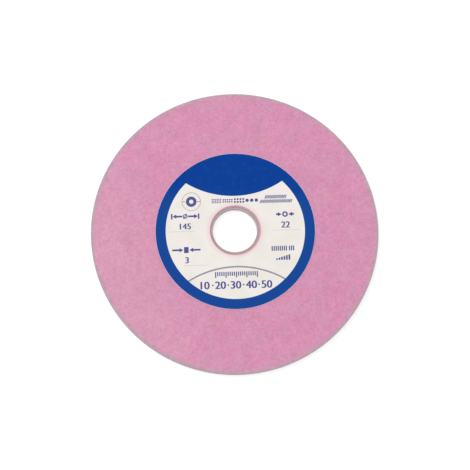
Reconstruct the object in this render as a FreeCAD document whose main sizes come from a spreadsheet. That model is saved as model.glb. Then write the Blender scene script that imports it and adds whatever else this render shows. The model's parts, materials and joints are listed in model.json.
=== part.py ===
import FreeCAD, Part
import math
import os

import Sketcher

# Flat grinding wheel for sharpening saw chain: a fired abrasive disc with a glued paper label
# on its front, the label's blue print, and a plain paper washer on its back.
# The wheel's axis is Z, its mid-plane is Z = 0 and its front looks along +Z.
doc = FreeCAD.newDocument("sharpening_wheel")

# Driving dimensions, in millimetres and degrees
driving_dimensions = {
    "wheel_diameter": 145.0,
    "wheel_thickness": 3.0,
    "bore_diameter": 22.2,
    "rim_rounding": 0.3,
    "bare_ring": 1.75,
    "label_diameter": 80.5,
    "label_thickness": 0.3,
    "label_shift": 0.25,
    "label_turn": 1.5,
    "ink_thickness": 0.05,
    "print_margin": 0.1,
    "border_width": 5.1,
    "cap_radius": 44.5,
    "cap_clearance": 5.0,
    "blotter_diameter": 80.0,
    "blotter_thickness": 0.3,
}
sizes = doc.addObject("Spreadsheet::Sheet", "sizes")
for row, (alias, value) in enumerate(driving_dimensions.items(), start=1):
    sizes.set(f"A{row}", alias)
    sizes.set(f"B{row}", str(value))
    sizes.setAlias(f"B{row}", alias)
doc.recompute()

# Sizes that several pieces share, written in terms of the sheet
WHEEL_RADIUS = "sizes.wheel_diameter / 2"
BORE_RADIUS = "sizes.bore_diameter / 2"
PAPER_HOLE_RADIUS = f"{BORE_RADIUS} + sizes.bare_ring"
LABEL_RADIUS = "sizes.label_diameter / 2"
PRINT_RADIUS = f"{LABEL_RADIUS} - sizes.print_margin"
FIELD_RADIUS = f"{PRINT_RADIUS} - sizes.border_width"
CAP_CENTRE = f"{PAPER_HOLE_RADIUS} + sizes.cap_clearance + sizes.cap_radius"
FRONT_FACE = "sizes.wheel_thickness / 2"

# How a sketch numbers the points of an arc or circle, and its own two axes
START, END, CENTRE = range(1, 4)
X_AXIS, Y_AXIS = range(-1, -3, -1)
UP = FreeCAD.Vector(0, 0, 1)


# Bodies and sketches
def new_body(label):
    body = doc.addObject("PartDesign::Body", label)
    body.Label = label
    return body


def glue_label(body):
    """Puts a body where the label is glued: on the front face, a little off centre and turned."""
    body.setExpression("Placement.Base.x", "sizes.label_shift")
    body.setExpression("Placement.Base.z", FRONT_FACE)
    body.setExpression("Placement.Rotation.Angle", "sizes.label_turn")


def new_sketch(body, name):
    """A sketch on the body's own XY plane."""
    plane = next(item for item in body.Origin.OriginFeatures if item.Role == "XY_Plane")
    sketch = body.newObject("Sketcher::SketchObject", name)
    sketch.AttachmentSupport = [(plane, "")]
    sketch.MapMode = "FlatFace"
    return sketch


def bind_constraint(sketch, constraint, name, expression):
    """Adds a dimension to the sketch and ties it to the sheet."""
    sketch.renameConstraint(sketch.addConstraint(constraint), name)
    sketch.setExpression(f"Constraints.{name}", expression)


def draw_circle(sketch, name, radius):
    """A circle about the sketch's origin."""
    start_radius = float(sketch.evalExpression(radius))
    circle = sketch.addGeometry(Part.Circle(FreeCAD.Vector(), UP, start_radius), False)
    sketch.addConstraint(Sketcher.Constraint("Coincident", circle, CENTRE, X_AXIS, START))
    bind_constraint(sketch, Sketcher.Constraint("Radius", circle, start_radius), name, radius)


def draw_ring(sketch, outer_radius, hole_radius):
    draw_circle(sketch, "outer_radius", outer_radius)
    draw_circle(sketch, "hole_radius", hole_radius)


def draw_print(sketch):
    """The printed area: a round border and a cap that fills its top.

    Inside the border the paper is bare below the cap. That bare field is bounded by a long arc
    of the border's inner circle and by the cap's lower edge, an arc that bulges downwards.
    """
    field_radius = float(sketch.evalExpression(FIELD_RADIUS))
    cap_radius = float(sketch.evalExpression("sizes.cap_radius"))
    cap_centre = float(sketch.evalExpression(CAP_CENTRE))
    tip_height = (field_radius ** 2 - cap_radius ** 2 + cap_centre ** 2) / (2 * cap_centre)
    tip_reach = math.sqrt(field_radius ** 2 - tip_height ** 2)
    field_tip = math.atan2(tip_height, tip_reach)
    cap_tip = math.atan2(cap_centre - tip_height, tip_reach)

    draw_circle(sketch, "print_radius", PRINT_RADIUS)
    field_circle = Part.Circle(FreeCAD.Vector(), UP, field_radius)
    field_arc = sketch.addGeometry(
        Part.ArcOfCircle(field_circle, math.pi - field_tip, 2 * math.pi + field_tip), False)
    cap_circle = Part.Circle(FreeCAD.Vector(0, cap_centre, 0), UP, cap_radius)
    cap_arc = sketch.addGeometry(
        Part.ArcOfCircle(cap_circle, math.pi + cap_tip, 2 * math.pi - cap_tip), False)

    sketch.addConstraint(Sketcher.Constraint("Coincident", field_arc, CENTRE, X_AXIS, START))
    sketch.addConstraint(Sketcher.Constraint("PointOnObject", cap_arc, CENTRE, Y_AXIS))
    sketch.addConstraint(Sketcher.Constraint("Coincident", field_arc, START, cap_arc, START))
    sketch.addConstraint(Sketcher.Constraint("Coincident", field_arc, END, cap_arc, END))
    bind_constraint(sketch, Sketcher.Constraint("Radius", field_arc, field_radius),
                    "field_radius", FIELD_RADIUS)
    bind_constraint(sketch, Sketcher.Constraint("Radius", cap_arc, cap_radius),
                    "cap_radius", "sizes.cap_radius")
    bind_constraint(sketch, Sketcher.Constraint("DistanceY", X_AXIS, START, cap_arc, CENTRE, cap_centre),
                    "cap_centre", CAP_CENTRE)


def add_pad(body, sketch, name, length):
    pad = body.newObject("PartDesign::Pad", name)
    pad.Profile = sketch
    pad.setExpression("Length", length)
    return pad


# Abrasive wheel: one flat disc of bonded grain with a plain bore, its outer arrises slightly rounded
wheel = new_body("abrasive_wheel")
wheel_outline = new_sketch(wheel, "wheel_outline")
draw_ring(wheel_outline, WHEEL_RADIUS, BORE_RADIUS)
wheel_disc = add_pad(wheel, wheel_outline, "wheel_disc", "sizes.wheel_thickness")
wheel_disc.SideType = "Symmetric"
doc.recompute()

wheel_radius = float(wheel.evalExpression(WHEEL_RADIUS))
arrises = []
for number, edge in enumerate(wheel_disc.Shape.Edges, start=1):
    if isinstance(edge.Curve, Part.Circle) and math.isclose(edge.Curve.Radius, wheel_radius):
        arrises.append(f"Edge{number}")
rim_rounding = wheel.newObject("PartDesign::Fillet", "rim_rounding")
rim_rounding.Base = (wheel_disc, arrises)
rim_rounding.setExpression("Radius", "sizes.rim_rounding")

# Front label: a paper washer glued a little off centre and a little turned. Its printed area is
# sunk by the thickness of the ink, so that the printed face is flat.
label = new_body("front_label")
glue_label(label)
label_outline = new_sketch(label, "label_outline")
draw_ring(label_outline, LABEL_RADIUS, PAPER_HOLE_RADIUS)
label_paper = add_pad(label, label_outline, "label_paper", "sizes.label_thickness")
ink_outline = new_sketch(label, "ink_outline")
ink_outline.setExpression("AttachmentOffset.Base.z", "sizes.label_thickness")
draw_print(ink_outline)
doc.recompute()
ink_recess = label.newObject("PartDesign::Pocket", "ink_recess")
ink_recess.Profile = ink_outline
ink_recess.setExpression("Length", "sizes.ink_thickness")

# Blue print: the border and cap as one film of ink, flush with the paper's face
blue_print = new_body("label_blue_print")
glue_label(blue_print)
film_outline = new_sketch(blue_print, "film_outline")
film_outline.setExpression("AttachmentOffset.Base.z", "sizes.label_thickness - sizes.ink_thickness")
draw_print(film_outline)
add_pad(blue_print, film_outline, "ink_film", "sizes.ink_thickness")

# Back blotter: a plain paper washer glued to the back face, on the bore's axis
blotter = new_body("back_blotter")
blotter.setExpression("Placement.Base.z", f"-{FRONT_FACE}")
blotter_outline = new_sketch(blotter, "blotter_outline")
draw_ring(blotter_outline, "sizes.blotter_diameter / 2", PAPER_HOLE_RADIUS)
blotter_paper = add_pad(blotter, blotter_outline, "blotter_paper", "sizes.blotter_thickness")
blotter_paper.Reversed = True
doc.recompute()

# Every object has to be sound before anything is written
for item in doc.Objects:
    if "Invalid" in item.State or "Error" in item.State:
        raise RuntimeError(f"{item.Label} could not be built: {item.State}")

pieces = [wheel, label, blue_print, blotter]
for piece in pieces:
    if piece.Shape.isNull() or not piece.Shape.isValid() or len(piece.Shape.Solids) != 1:
        raise RuntimeError(f"{piece.Label} is not one sound solid")

printed_volume = label.Shape.Volume + blue_print.Shape.Volume
if not math.isclose(printed_volume, label_paper.Shape.Volume, rel_tol=Part.Precision.confusion()):
    raise RuntimeError("the ink does not fill its recess")

os.makedirs("parts", exist_ok=True)
for piece in pieces:
    piece.Shape.exportStep(os.path.join("parts", f"{piece.Label}.step"))
    print(f"{piece.Label}: {piece.Shape.Volume:.1f} cubic millimetres")
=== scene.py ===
import json
import math

import bmesh
import bpy
from mathutils import Matrix, Vector


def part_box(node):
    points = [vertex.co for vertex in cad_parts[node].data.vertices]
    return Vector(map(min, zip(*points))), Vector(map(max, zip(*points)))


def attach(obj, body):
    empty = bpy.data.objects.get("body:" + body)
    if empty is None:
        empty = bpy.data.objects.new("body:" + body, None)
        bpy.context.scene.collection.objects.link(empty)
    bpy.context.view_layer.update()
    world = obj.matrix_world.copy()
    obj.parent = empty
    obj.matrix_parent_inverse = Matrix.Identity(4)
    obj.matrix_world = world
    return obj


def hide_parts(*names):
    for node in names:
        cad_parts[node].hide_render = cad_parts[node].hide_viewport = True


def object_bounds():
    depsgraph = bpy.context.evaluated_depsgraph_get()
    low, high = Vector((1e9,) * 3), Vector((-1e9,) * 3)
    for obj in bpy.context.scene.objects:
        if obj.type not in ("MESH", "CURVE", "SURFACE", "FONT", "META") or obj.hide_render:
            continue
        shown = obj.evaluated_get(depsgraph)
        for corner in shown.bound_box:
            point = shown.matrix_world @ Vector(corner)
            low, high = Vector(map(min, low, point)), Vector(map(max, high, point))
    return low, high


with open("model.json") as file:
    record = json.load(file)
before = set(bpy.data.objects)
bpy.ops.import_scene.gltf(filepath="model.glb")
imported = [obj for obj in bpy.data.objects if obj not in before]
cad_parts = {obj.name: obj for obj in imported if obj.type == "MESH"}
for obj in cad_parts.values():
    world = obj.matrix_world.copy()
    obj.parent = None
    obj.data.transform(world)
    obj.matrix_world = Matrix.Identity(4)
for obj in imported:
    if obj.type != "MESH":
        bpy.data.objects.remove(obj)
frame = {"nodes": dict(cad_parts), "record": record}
cad_low, cad_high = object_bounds()

# Abrasive wheel
# One flat disc of pink fused aluminium oxide grain in a glassy bond. It is pressed in a mould with
# its bore and fired, so its faces are grainy and a little open, and its arrises are slightly worn.
MM = 0.001
mounts = {mount["name"]: mount for mount in frame["record"]["mounts"]}
bore_radius = mounts["bore"]["dims"]["r_mm"] * MM
wheel_low, wheel_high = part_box("abrasive_wheel")
wheel_radius = (wheel_high.x - wheel_low.x) / 2
wheel_thickness = wheel_high.z - wheel_low.z
label_low, label_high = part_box("front_label")
label_radius = (label_high.x - label_low.x) / 2
arris_radius = 0.3 * MM
covered_from = bore_radius + 2.5 * MM
covered_to = label_radius - 1.0 * MM
steps_around = 720
merge_distance = 0.001 * MM
crystal_size = 0.26 * MM


def deselect_all():
    """Leaves nothing selected, in object mode."""
    if bpy.context.object and bpy.context.object.mode == "EDIT":
        bpy.ops.object.mode_set(mode="OBJECT")
    bpy.ops.object.select_all(action="DESELECT")


def select_edges(test):
    """Selects the edges of the mesh being edited whose middle and direction pass the test."""
    mesh = bmesh.from_edit_mesh(bpy.context.edit_object.data)
    bpy.ops.mesh.select_all(action="DESELECT")
    for edge in mesh.edges:
        start, end = edge.verts
        edge.select_set(test((start.co + end.co) / 2, (end.co - start.co).normalized()))
    bmesh.update_edit_mesh(bpy.context.edit_object.data)


def wear(piece, name, lump, depth, group=""):
    """Sinks a piece's surface here and there, by up to depth, in lumps of a size."""
    texture = bpy.data.textures.new(name, "CLOUDS")
    texture.noise_scale = lump
    texture.noise_depth = 1
    sink = piece.modifiers.new(name, "DISPLACE")
    sink.texture = texture
    sink.texture_coords = "LOCAL"
    sink.mid_level = 1.0
    sink.strength = depth
    sink.vertex_group = group
    bpy.ops.object.modifier_apply(modifier=name)


# Half of its section is a plate on edge, split where the papers cover it, its outer arrises rounded
deselect_all()
bpy.ops.mesh.primitive_plane_add(
    size=1, location=((bore_radius + wheel_radius) / 2, 0, 0), rotation=(math.pi / 2, 0, 0))
wheel = bpy.context.object
wheel.name = "pink_grinding_disc"
wheel.scale = (wheel_radius - bore_radius, wheel_thickness, 1)
bpy.ops.object.transform_apply(location=True, rotation=True, scale=True)
bpy.ops.object.mode_set(mode="EDIT")
for radius in (covered_from, covered_to):
    bpy.ops.mesh.select_all(action="SELECT")
    bpy.ops.mesh.bisect(plane_co=(radius, 0, 0), plane_no=(1, 0, 0))
bpy.ops.mesh.select_mode(type="VERT")
bpy.ops.mesh.select_all(action="DESELECT")
for vertex in bmesh.from_edit_mesh(wheel.data).verts:
    vertex.select_set(vertex.co.x > wheel_radius - arris_radius)
bpy.ops.mesh.bevel(offset=arris_radius, segments=3, affect="VERTICES")
bpy.ops.mesh.select_all(action="SELECT")
bpy.ops.mesh.delete(type="ONLY_FACE")
bpy.ops.mesh.select_mode(type="EDGE")
select_edges(lambda middle, way: abs(way.z) > 0.99 and bore_radius + MM < middle.x < wheel_radius - MM)
bpy.ops.mesh.delete(type="EDGE")

# Small faces where the grain shows, large ones under the papers, and then a full turn about the axis
for test, cuts in [
    (lambda middle, way: abs(way.x) > 0.99 and middle.x > covered_to and middle.z > 0, 50),
    (lambda middle, way: abs(way.x) > 0.99 and middle.x > covered_to and middle.z < 0, 34),
    (lambda middle, way: abs(way.x) > 0.99 and covered_from < middle.x < covered_to, 5),
    (lambda middle, way: abs(way.x) > 0.99 and middle.x < covered_from, 4),
    (lambda middle, way: abs(way.z) > 0.99, 4),
]:
    select_edges(test)
    bpy.ops.mesh.subdivide(number_cuts=cuts)
bpy.ops.mesh.select_all(action="SELECT")
bpy.ops.mesh.spin(steps=steps_around, angle=2 * math.pi, center=(0, 0, 0), axis=(0, 0, 1))
bpy.ops.mesh.select_all(action="SELECT")
bpy.ops.mesh.remove_doubles(threshold=merge_distance)
bpy.ops.mesh.normals_make_consistent(inside=False)
bpy.ops.object.mode_set(mode="OBJECT")

arris = wheel.vertex_groups.new(name="arris")
for vertex in wheel.data.vertices:
    from_axis = vertex.co.xy.length
    if from_axis > wheel_radius - 1.6 * arris_radius or from_axis < bore_radius + arris_radius:
        arris.add([vertex.index], 1.0, "REPLACE")
wear(wheel, "open_grain", 0.7 * MM, 0.05 * MM)
wear(wheel, "worn_arris", 1.3 * MM, 0.08 * MM, "arris")
bpy.ops.object.shade_smooth()


class Wire:
    """One output of a shader node. Arithmetic on wires adds Math nodes, so a pattern reads as a sum."""

    def __init__(self, tree, made, output=0):
        self.tree = tree
        self.made = made
        self.socket = made.outputs[output]

    def node(self, kind, settings, inputs, output=0):
        """Adds a node of a kind, makes its settings, feeds its inputs and gives one of its outputs."""
        made = self.tree.nodes.new(kind)
        for name, setting in settings.items():
            setattr(made, name, setting)
        for name, feed in inputs.items():
            if isinstance(feed, Wire):
                self.tree.links.new(feed.socket, made.inputs[name])
            else:
                made.inputs[name].default_value = feed
        return Wire(self.tree, made, output)

    def out(self, output):
        """Another output of the same node."""
        return Wire(self.tree, self.made, output)

    def maths(self, operation, left, right):
        return self.node("ShaderNodeMath", {"operation": operation}, {0: left, 1: right})

    def __add__(self, other):
        return self.maths("ADD", self, other)

    def __radd__(self, other):
        return self.maths("ADD", other, self)

    def __sub__(self, other):
        return self.maths("SUBTRACT", self, other)

    def __rsub__(self, other):
        return self.maths("SUBTRACT", other, self)

    def __mul__(self, other):
        return self.maths("MULTIPLY", self, other)

    def __rmul__(self, other):
        return self.maths("MULTIPLY", other, self)

    def step(self, low, high):
        """Rises smoothly from 0 where the wire is low to 1 where it is high."""
        inputs = {"Value": self, "From Min": low, "From Max": high}
        return self.node("ShaderNodeMapRange", {"interpolation_type": "SMOOTHSTEP"}, inputs)

    def mix(self, colour, other):
        """One colour where the wire is 0, and another where it is 1."""
        return self.node("ShaderNodeMix", {"data_type": "RGBA"}, {0: self, 6: colour, 7: other}, 2)

    def times(self, factor):
        """A colour made lighter or darker by a factor."""
        return self.node("ShaderNodeVectorMath", {"operation": "SCALE"}, {"Vector": self, "Scale": factor})

    def plus(self, factor, tint):
        """A colour with a tint added to it, as strongly as a factor says."""
        return self.node("ShaderNodeVectorMath", {"operation": "MULTIPLY_ADD"}, {0: factor, 1: tint, 2: self})

    def noise(self, size, detail=2.0):
        """Soft lumps of a size in metres, about a place."""
        inputs = {"Vector": self, "Scale": 1 / size, "Detail": detail}
        return self.node("ShaderNodeTexNoise", {}, inputs)

    def along(self, axis):
        """How far along an axis a place is."""
        return self.node("ShaderNodeSeparateXYZ", {}, {"Vector": self}, axis)

    def reach(self):
        """How far a place is from the wheel's axis."""
        level = self.node("ShaderNodeVectorMath", {"operation": "MULTIPLY"}, {0: self, 1: (1, 1, 0)})
        return self.node("ShaderNodeVectorMath", {"operation": "LENGTH"}, {"Vector": level}, "Value")


def srgb(red, green, blue):
    """A colour given as on a screen, from 0 to 255, as the light that it stands for."""
    light = [((level / 255 + 0.055) / 1.055) ** 2.4 for level in (red, green, blue)]
    return (*light, 1.0)


def new_material(name):
    """A material, and the wire that carries the place on the piece, in metres."""
    material = bpy.data.materials.new(name)
    material.use_nodes = True
    tree = material.node_tree
    return material, Wire(tree, tree.nodes.new("ShaderNodeTexCoord"), "Object")


def set_surface(material, colour, roughness, height, relief, specular):
    """Feeds a material's colour, roughness and bump. The relief is the bump's height in metres."""
    surface = material.node_tree.nodes["Principled BSDF"]
    bump = height.node("ShaderNodeBump", {}, {"Height": height, "Distance": relief})
    links = material.node_tree.links
    links.new(colour.socket, surface.inputs["Base Color"])
    links.new(roughness.socket, surface.inputs["Roughness"])
    links.new(bump.socket, surface.inputs["Normal"])
    surface.inputs["Specular IOR Level"].default_value = specular


# The body is mottled from lilac to rose, and painted light makes it paler to the left. Each crystal has
# a tone of its own, and a few are paler with bond. Painted shade darkens the gaps between crystals and a
# few open pores. A band along the rim is greyed, partly painted shade and partly handling dirt. Painted
# light makes the rim's wall and the bore's wall a light grey, and painted shade greys the bare ring round
# the bore. The tones are added as a greyish pink, so that a dark grain is as strongly coloured as a
# paler one.
grain_tint = (0.80, 0.50, 0.63)
abrasive, place = new_material("vitrified_pink_abrasive")
crystal = place.node("ShaderNodeTexVoronoi", {}, {"Vector": place, "Scale": 1 / crystal_size}, "Color")
grain_gap_and_shade = crystal.out("Distance")
tone = crystal.node("ShaderNodeSeparateColor", {}, {"Color": crystal}, "Red")
kind = tone.out("Green")
clump = place.noise(1.6 * MM)
cloud = place.noise(3.2 * MM)
drift = place.noise(7.0 * MM)
mottle = 0.3 * place.noise(2.8 * MM).step(0.3, 0.7) + 0.7 * place.noise(9.0 * MM, 3.0).step(0.32, 0.68)
body = mottle.mix(srgb(214, 152, 183), srgb(221, 147, 180))
# Painted light: the body is made paler towards the left, as if more light fell there.
painted_light_left = (place.along("X") + 0.4 * place.along("Y")).step(-25 * MM, -68 * MM)
body = (0.6 * painted_light_left).mix(body, srgb(221, 163, 186))
reach = place.reach()
# A band along the rim is greyed, partly painted shade and partly handling dirt.
arris_dirt_and_shade = reach.step(wheel_radius - 2.7 * MM, wheel_radius - 0.4 * MM).mix(body, srgb(195, 163, 177))
# Painted light: the rounded arris and the rim's wall are painted a light grey that lifts them out of their
# shade.
rim_painted_light = reach.step(wheel_radius - 0.3 * MM, wheel_radius - 0.15 * MM).mix(arris_dirt_and_shade, srgb(212, 182, 196))
# Painted shade: the bare ring round the bore is painted grey, fading to a greyish pink at the paper's edge.
bore_shade_edge = reach.step(bore_radius + 2.4 * MM, bore_radius + 1.7 * MM).mix(rim_painted_light, srgb(208, 172, 180))
bore_shade = reach.step(bore_radius + 1.8 * MM, bore_radius + 0.8 * MM).mix(bore_shade_edge, srgb(177, 154, 159))
# Painted light: the bore's wall is painted a light grey that lifts it out of its shade.
bore_wall_painted_light = reach.step(bore_radius + 0.4 * MM, bore_radius + 0.2 * MM).mix(bore_shade, srgb(222, 202, 208))
bonded = kind.step(0.90, 0.96)
pore_and_shade = kind.step(0.08, 0.03)
# Painted shade: the gap and pore terms darken the gaps between crystals and the open pores.
light = (0.06 * tone + 0.17 * clump + 0.14 * cloud + 0.10 * drift - 0.06 * grain_gap_and_shade - 0.22
         + 0.11 * bonded - 0.12 * pore_and_shade)
set_surface(abrasive, bore_wall_painted_light.plus(light, grain_tint), 0.95 - 0.4 * kind.step(0.94, 0.98),
            clump + 0.7 * tone - grain_gap_and_shade - 0.6 * pore_and_shade, 0.025 * MM, 0.3)
wheel.data.materials.append(abrasive)
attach(wheel, "root")
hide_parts("abrasive_wheel")

# Label paper
# A washer of smooth white paper, glued to the front face a little off centre. Its small printed marks
# are plain and generic, and each is a film of ink that lies flush with the paper's face.
label_turn = math.radians(1.5)
label_centre = (label_low + label_high) / 2
ink_low, ink_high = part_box("label_blue_print")
ink_thickness = ink_high.z - ink_low.z

paper_mesh = frame["nodes"]["front_label"].data.copy()
paper_mesh.materials.clear()
paper = bpy.data.objects.new("label_paper_washer", paper_mesh)
bpy.context.collection.objects.link(paper)


def hold(piece):
    """Makes a piece the only one selected, and the active one."""
    deselect_all()
    piece.select_set(True)
    bpy.context.view_layer.objects.active = piece


def edit_all(piece):
    """Opens a piece for editing with all of it selected."""
    hold(piece)
    bpy.ops.object.mode_set(mode="EDIT")
    bpy.ops.mesh.select_mode(type="FACE")
    bpy.ops.mesh.select_all(action="SELECT")


edit_all(paper)
bpy.ops.mesh.remove_doubles(threshold=merge_distance)
bpy.ops.object.mode_set(mode="OBJECT")


def new_stamp(name):
    """A flat mesh with nothing in it, open for marks. They are placed in millimetres on the label."""
    deselect_all()
    bpy.ops.mesh.primitive_plane_add()
    stamp = bpy.context.object
    stamp.name = name
    bpy.ops.object.mode_set(mode="EDIT")
    bpy.ops.mesh.select_mode(type="FACE")
    bpy.ops.mesh.delete(type="VERT")
    return stamp


def add_bar(x, y, width, height, lean=0.0):
    """A straight bar, leaning over to the right by an angle in degrees."""
    at = (x * MM, y * MM, 0)
    bpy.ops.mesh.primitive_plane_add(size=MM, location=at)
    bpy.ops.transform.resize(value=(width, height, 1), center_override=at)
    bpy.ops.transform.rotate(value=math.radians(lean), orient_axis="Z", center_override=at)


def add_disc(x, y, radius, corners=28, turn=0.0):
    """A round dot, or a shape of a few corners, of which the first points along the turn."""
    bpy.ops.mesh.primitive_circle_add(
        vertices=corners, radius=radius * MM, fill_type="NGON",
        location=(x * MM, y * MM, 0), rotation=(0, 0, math.radians(turn) - math.pi / 2))


def add_ring(x, y, radius, width, corners=48):
    """A ring of an outer radius, its line as wide as given."""
    add_disc(x, y, radius, corners)
    bpy.ops.mesh.inset(thickness=width * MM)
    bpy.ops.mesh.delete(type="FACE")


def add_arrow(tip_x, y, tail, way):
    """An arrow along X whose head points to the left where the way is -1, and to the right where it is 1."""
    head_radius = 1.3
    head_length = 1.4 * head_radius
    shaft_width = 0.9
    add_disc(tip_x - way * head_radius, y, head_radius, 3, 90 - 90 * way)
    add_bar(tip_x - way * (head_length + tail / 2), y, tail, shaft_width)


def row(count, pitch, middle):
    """Places along a row, evenly spaced about its middle."""
    return [middle + pitch * (place - (count - 1) / 2) for place in range(count)]


def add_number(text, x, y, height):
    """A plain number in upright figures, centred on its place, made a mesh before it is placed.

    The fill of the figure 4 has slivers with no area, which are deleted. The strokes are made bolder
    by a second copy of the figures, set a little aside. These sizes are shares of the type's height.
    """
    stray_gap = 0.004
    sliver_area = 0.000001
    bold_shift = (0.065, -0.004, 0)
    deselect_all()
    bpy.ops.object.text_add()
    number = bpy.context.object
    number.data.body = text
    number.data.resolution_u = 4
    number.data.align_x = "CENTER"
    number.data.align_y = "CENTER"
    bpy.ops.object.convert(target="MESH")
    number = bpy.context.object
    edit_all(number)
    bpy.ops.mesh.remove_doubles(threshold=stray_gap)
    bpy.ops.mesh.select_all(action="DESELECT")
    for face in bmesh.from_edit_mesh(number.data).faces:
        face.select_set(face.calc_area() < sliver_area)
    bpy.ops.mesh.delete(type="FACE")
    bpy.ops.mesh.select_all(action="SELECT")
    bpy.ops.mesh.dissolve_limited(angle_limit=math.radians(1))
    bpy.ops.mesh.duplicate()
    bpy.ops.transform.translate(value=bold_shift)
    bpy.ops.object.mode_set(mode="OBJECT")
    bpy.ops.object.origin_set(type="ORIGIN_GEOMETRY", center="BOUNDS")
    size = height * MM / number.dimensions.y
    number.scale = (size, size, 1)
    number.location = (x * MM, y * MM, 0)
    bpy.ops.object.transform_apply(location=True, rotation=True, scale=True)
    return number


def cut(piece, operation, tool):
    """Cuts a piece by a tool, or keeps what both share."""
    hold(piece)
    boolean = piece.modifiers.new("cut", "BOOLEAN")
    boolean.operation = operation
    boolean.object = tool
    boolean.solver = "EXACT"
    boolean.use_self = True
    bpy.ops.object.modifier_apply(modifier=boolean.name)


def print_marks(stamp, name):
    """Lays a stamp's marks into the paper as a film of ink, flush with its face, and gives the film."""
    hold(stamp)
    stamp.rotation_euler.z = label_turn
    stamp.location = (label_centre.x, label_centre.y, ink_high.z)
    bpy.ops.object.transform_apply(location=True, rotation=True, scale=True)
    edit_all(stamp)
    bpy.ops.mesh.remove_doubles(threshold=merge_distance)
    bpy.ops.object.mode_set(mode="OBJECT")
    solidify = stamp.modifiers.new("film", "SOLIDIFY")
    solidify.thickness = 2 * ink_thickness
    solidify.offset = 0.0
    bpy.ops.object.modifier_apply(modifier=solidify.name)
    hold(paper)
    bpy.ops.object.duplicate()
    film = bpy.context.object
    film.name = name
    cut(film, "INTERSECT", stamp)
    cut(paper, "DIFFERENCE", stamp)
    bpy.data.objects.remove(stamp)
    return film


# The grey marks: a long low arc that ends on the border, a thin ring and three hairline rules
grey_stamp = new_stamp("grey_stamp")
arc_centre_y = -64.8
arc_radius = 46.5
arc_width = 0.8
arc_foot_y = -27.0
hairline = 0.1
sign_x = -21.9
sign_y = 15.38
add_ring(0, arc_centre_y, arc_radius, arc_width, 240)
bpy.ops.mesh.select_all(action="SELECT")
bpy.ops.mesh.bisect(plane_co=(0, arc_foot_y * MM, 0), plane_no=(0, 1, 0), clear_inner=True)
add_ring(sign_x, sign_y, 4.8, 0.25)
for x, y, width in [(-27.0, -0.1, 12.0), (26.2, -0.5, 13.5), (-20.0, -17.5, 12.0)]:
    add_bar(x, y, width, hairline)

# The dark marks, from the top of the label to its foot
dark_stamp = new_stamp("dark_stamp")
# A wheel seen from the front, with its centre lines
add_ring(sign_x, sign_y, 2.7, 1.6)
for way in (-1, 1):
    add_bar(sign_x + 3.7 * way, sign_y, 1.5, 0.3)
# A scale of grain sizes, from fine at the left to coarse at the right
dot_x = -11.3
dots_y = 15.4
group_gap = 0.45
for radius, columns, rows in [(0.33, 6, 3), (0.42, 5, 2), (0.55, 4, 2), (0.9, 3, 1)]:
    pitch = 2.6 * radius
    for column in range(columns):
        for y in row(rows, pitch, dots_y):
            add_disc(dot_x, y, radius, 12)
        dot_x += pitch
    dot_x += group_gap
# Two strips of hatching
for count, middle_x, y, height in [(14, 20.85, 16.96, 1.95), (21, 21.04, 14.65, 1.85)]:
    for x in row(count, 0.78, middle_x):
        add_bar(x, y, 0.46, height, 25)
# Arrows that reach from edge to edge of the wheel
x, y = -25.1, 7.8
add_ring(x, y, 1.2, 0.5, 28)
add_bar(x, y, 0.45, 3.2, 35)
for way in (-1, 1):
    add_arrow(x + 6.45 * way, y, 3.2, way)
    add_bar(x + 6.8 * way, y, 0.75, 2.9)
# Arrows that close on a hole
x, y = 25.3, 7.74
add_ring(x, y, 1.45, 0.75, 28)
for way in (-1, 1):
    add_arrow(x + 1.7 * way, y, 1.0, -way)
# Arrows that close on an edge
x, y = -24.87, -9.55
add_bar(x, y, 2.3, 3.1)
for way in (-1, 1):
    add_arrow(x + 1.5 * way, y, 3.8, -way)
# A row of strokes in two groups, and bars that grow
for strokes, middle_x in [(8, 21.77), (3, 27.92)]:
    for x in row(strokes, 1.02, middle_x):
        add_bar(x, -9.87, 0.6, 2.5)
for bar, x in enumerate(row(6, 1.25, 23.525)):
    height = 0.8 + 0.38 * bar
    add_bar(x, -15.8 + height / 2, 0.85, height)
# A ruler, with a longer line at every fifth, and a row of numbers with dots between them
ruler_y = -21.2
numbers_x = -0.5
numbers_y = -27.9
numbers_pitch = 7.7
for line, x in enumerate(row(21, 1.04, -0.1)):
    length = 3.0 if line % 5 == 0 else 2.1
    add_bar(x, ruler_y - length / 2, 0.58, length)
for x in row(4, numbers_pitch, numbers_x):
    add_disc(x, numbers_y, 0.42, 16)
bpy.ops.object.mode_set(mode="OBJECT")
numbers = []
for text, x, y, height in [("145", -25.1, 2.6, 3.1), ("22", 25.4, 2.35, 3.2), ("3", -24.6, -14.77, 3.2)]:
    numbers.append(add_number(text, x, y, height))
for tens, x in enumerate(row(5, numbers_pitch, numbers_x), start=1):
    numbers.append(add_number(str(10 * tens), x, numbers_y, 3.9))
hold(dark_stamp)
for number in numbers:
    number.select_set(True)
bpy.ops.object.join()

grey_film = print_marks(grey_stamp, "grey_label_print")
dark_film = print_marks(dark_stamp, "dark_label_print")

# The paper is off-white and a little warm, dusted pink round its hole. It takes the grain's relief.
white_paper, place = new_material("smooth_label_paper")
fibre = place.noise(0.22 * MM, 3.0)
blotch = place.noise(9.0 * MM, 3.0)
warm = blotch.step(0.35, 0.7).mix(srgb(242, 237, 232), srgb(238, 233, 224))
rubbed = 0.3 + place.noise(0.35 * MM, 3.0).step(0.3, 0.7) * (0.4 + blotch)
dust = place.reach().step(bore_radius + 4.2 * MM, bore_radius + 1.6 * MM) * rubbed
dusted = (0.9 * dust).mix(warm, srgb(245, 206, 212))
set_surface(white_paper, dusted.times(0.98 + 0.04 * fibre), 0.62 + 0.25 * fibre,
            0.25 * fibre + place.noise(0.9 * MM), 0.035 * MM, 0.3)
paper.data.materials.append(white_paper)
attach(paper, "root")
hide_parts("front_label")


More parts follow.
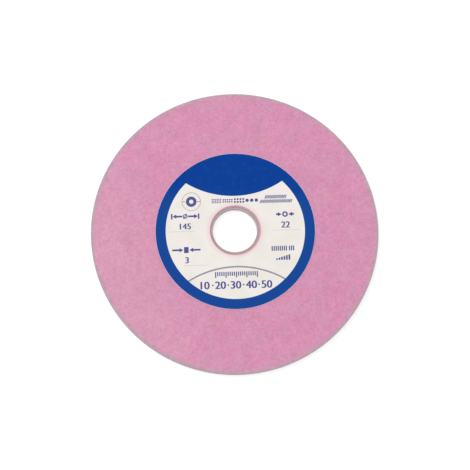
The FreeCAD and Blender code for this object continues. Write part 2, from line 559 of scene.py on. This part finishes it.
def set_ink(ink, place, ink_colour, worn_colour, specular):
    """Makes a material printing ink that is a little thin in places, where the paper lightens it."""
    patch = place.noise(2.4 * MM, 4.0)
    speck = place.noise(0.16 * MM)
    thin = 0.35 * patch.step(0.45, 0.75) + 0.5 * speck.step(0.62, 0.74)
    set_surface(ink, thin.mix(ink_colour, worn_colour), 0.5 + 0.2 * patch,
                0.4 * speck + place.noise(0.9 * MM), 0.025 * MM, specular)


for film, slot, name, ink_colour, worn_colour in [
    (grey_film, "grey_ink", "grey_printing_ink", srgb(146, 144, 157), srgb(176, 175, 185)),
    (dark_film, "dark_ink", "dark_printing_ink", srgb(76, 79, 143), srgb(110, 112, 168)),
]:
    ink, place = new_material(name)
    set_ink(ink, place, ink_colour, worn_colour, 0.2)
    film.data.materials.append(ink)
    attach(film, "root")

# Blue print
# The label's border and cap, one flat film of blue ink. Its solid is right as it is, so it only gets
# the ink's finish: an even deep blue, a little deeper in the cap, that is slightly thin in places.
cap_foot = 12.0 * MM
cap_shoulder = 24.0 * MM
blue_ink, place = new_material("blue_printing_ink")
border = place.along("Y").step(cap_shoulder, cap_foot)
flood = border.mix((0.001, 0.048, 0.305, 1.0), (0.007, 0.063, 0.308, 1.0))
set_ink(blue_ink, place, flood, (0.010, 0.075, 0.34, 1.0), 0.05)
frame["nodes"]["label_blue_print"].material_slots[0].material = blue_ink

# Back blotter
# A plain washer of soft grey-white paper, glued to the back face, that the rear flange presses on.
# Its fibres show, and the wheel's grain has pressed through it.
blotting_paper, place = new_material("plain_blotting_paper")
fibre = place.noise(0.3 * MM, 4.0)
blotch = place.noise(14.0 * MM, 3.0)
pulp = blotch.step(0.25, 0.75).mix(srgb(222, 216, 207), srgb(215, 209, 198))
set_surface(blotting_paper, pulp.times(0.95 + 0.1 * fibre), 0.85 + 0.1 * fibre,
            0.5 * fibre + place.noise(0.9 * MM), 0.05 * MM, 0.2)
frame["nodes"]["back_blotter"].material_slots[0].material = blotting_paper

# Floor, light and camera
# A white floor under a white sky. The floor shows white to the camera and keeps the wheel's shadow.
# The sky and one large lamp light a level surface so that its colour shows as it is written.
sky_light = 0.7
floor_colour = (0.45, 0.45, 0.45, 1)
floor_glow = 0.68
lamp_place = (-0.9, 0.7, 2.0)
lamp_width = 0.9
lamp_power = 18
deselect_all()
bpy.ops.mesh.primitive_plane_add(size=8, location=(0, 0, cad_low.z))
floor = bpy.context.object
floor.name = "studio_floor"
floor_material, place = new_material("white_floor")
floor_surface = floor_material.node_tree.nodes["Principled BSDF"]
floor_surface.inputs["Base Color"].default_value = floor_colour
floor_surface.inputs["Roughness"].default_value = 1.0
floor_surface.inputs["Specular IOR Level"].default_value = 0.0
floor_surface.inputs["Emission Strength"].default_value = 1.0


def seen_directly(wire):
    """1 for what the camera sees, straight or in gloss or glass, and 0 for the light that surfaces get."""
    ray = wire.node("ShaderNodeLightPath", {}, {}, "Is Camera Ray")
    return ray + ray.out("Is Glossy Ray") + ray.out("Is Transmission Ray")


glow = floor_glow * seen_directly(place)
floor_material.node_tree.links.new(glow.socket, floor_surface.inputs["Emission Color"])
floor.data.materials.append(floor_material)

world = bpy.data.worlds.new("white_studio")
world.use_nodes = True
bpy.context.scene.world = world
sky = world.node_tree.nodes["Background"]
sky.inputs["Color"].default_value = (1, 1, 1, 1)
strength = sky_light + (1 - sky_light) * seen_directly(Wire(world.node_tree, sky))
world.node_tree.links.new(strength.socket, sky.inputs["Strength"])

bpy.ops.object.light_add(type="AREA", location=lamp_place)
lamp = bpy.context.object
lamp.name = "soft_key"
lamp.data.shape = "DISK"
lamp.data.size = lamp_width
lamp.data.energy = lamp_power
lamp.rotation_euler = (-lamp.location).to_track_quat("-Z", "Y").to_euler()

# The camera looks down on the wheel from the photograph's side, 13 degrees off the wheel's axis
camera_distance = 0.6
camera_tilt = math.radians(13.06)
camera_turn = math.radians(3.2)
picture_centre = (0.08 * MM, -2.0 * MM)
picture_width = 470
pixels_per_mm = 1.981
away = Vector((math.sin(camera_turn), math.cos(camera_turn), 0))
back = Vector((0, 0, 1)) * math.cos(camera_tilt) - away * math.sin(camera_tilt)
right = (Vector((1, 0, 0)) - back * back.x).normalized()
above = back.cross(right)
eye = back * camera_distance
aim = right * picture_centre[0] + above * picture_centre[1]
view_back = (eye - aim).normalized()
view_right = (right - view_back * right.dot(view_back)).normalized()
view_up = view_back.cross(view_right)
bpy.ops.object.camera_add()
camera = bpy.context.object
turned = Matrix((view_right, view_up, view_back)).transposed().to_4x4()
camera.matrix_world = Matrix.Translation(eye) @ turned
camera.data.sensor_width = 36
camera.data.lens = camera.data.sensor_width * camera_distance / MM * pixels_per_mm / picture_width
bpy.context.scene.camera = camera
bpy.context.scene.view_settings.view_transform = "Standard"
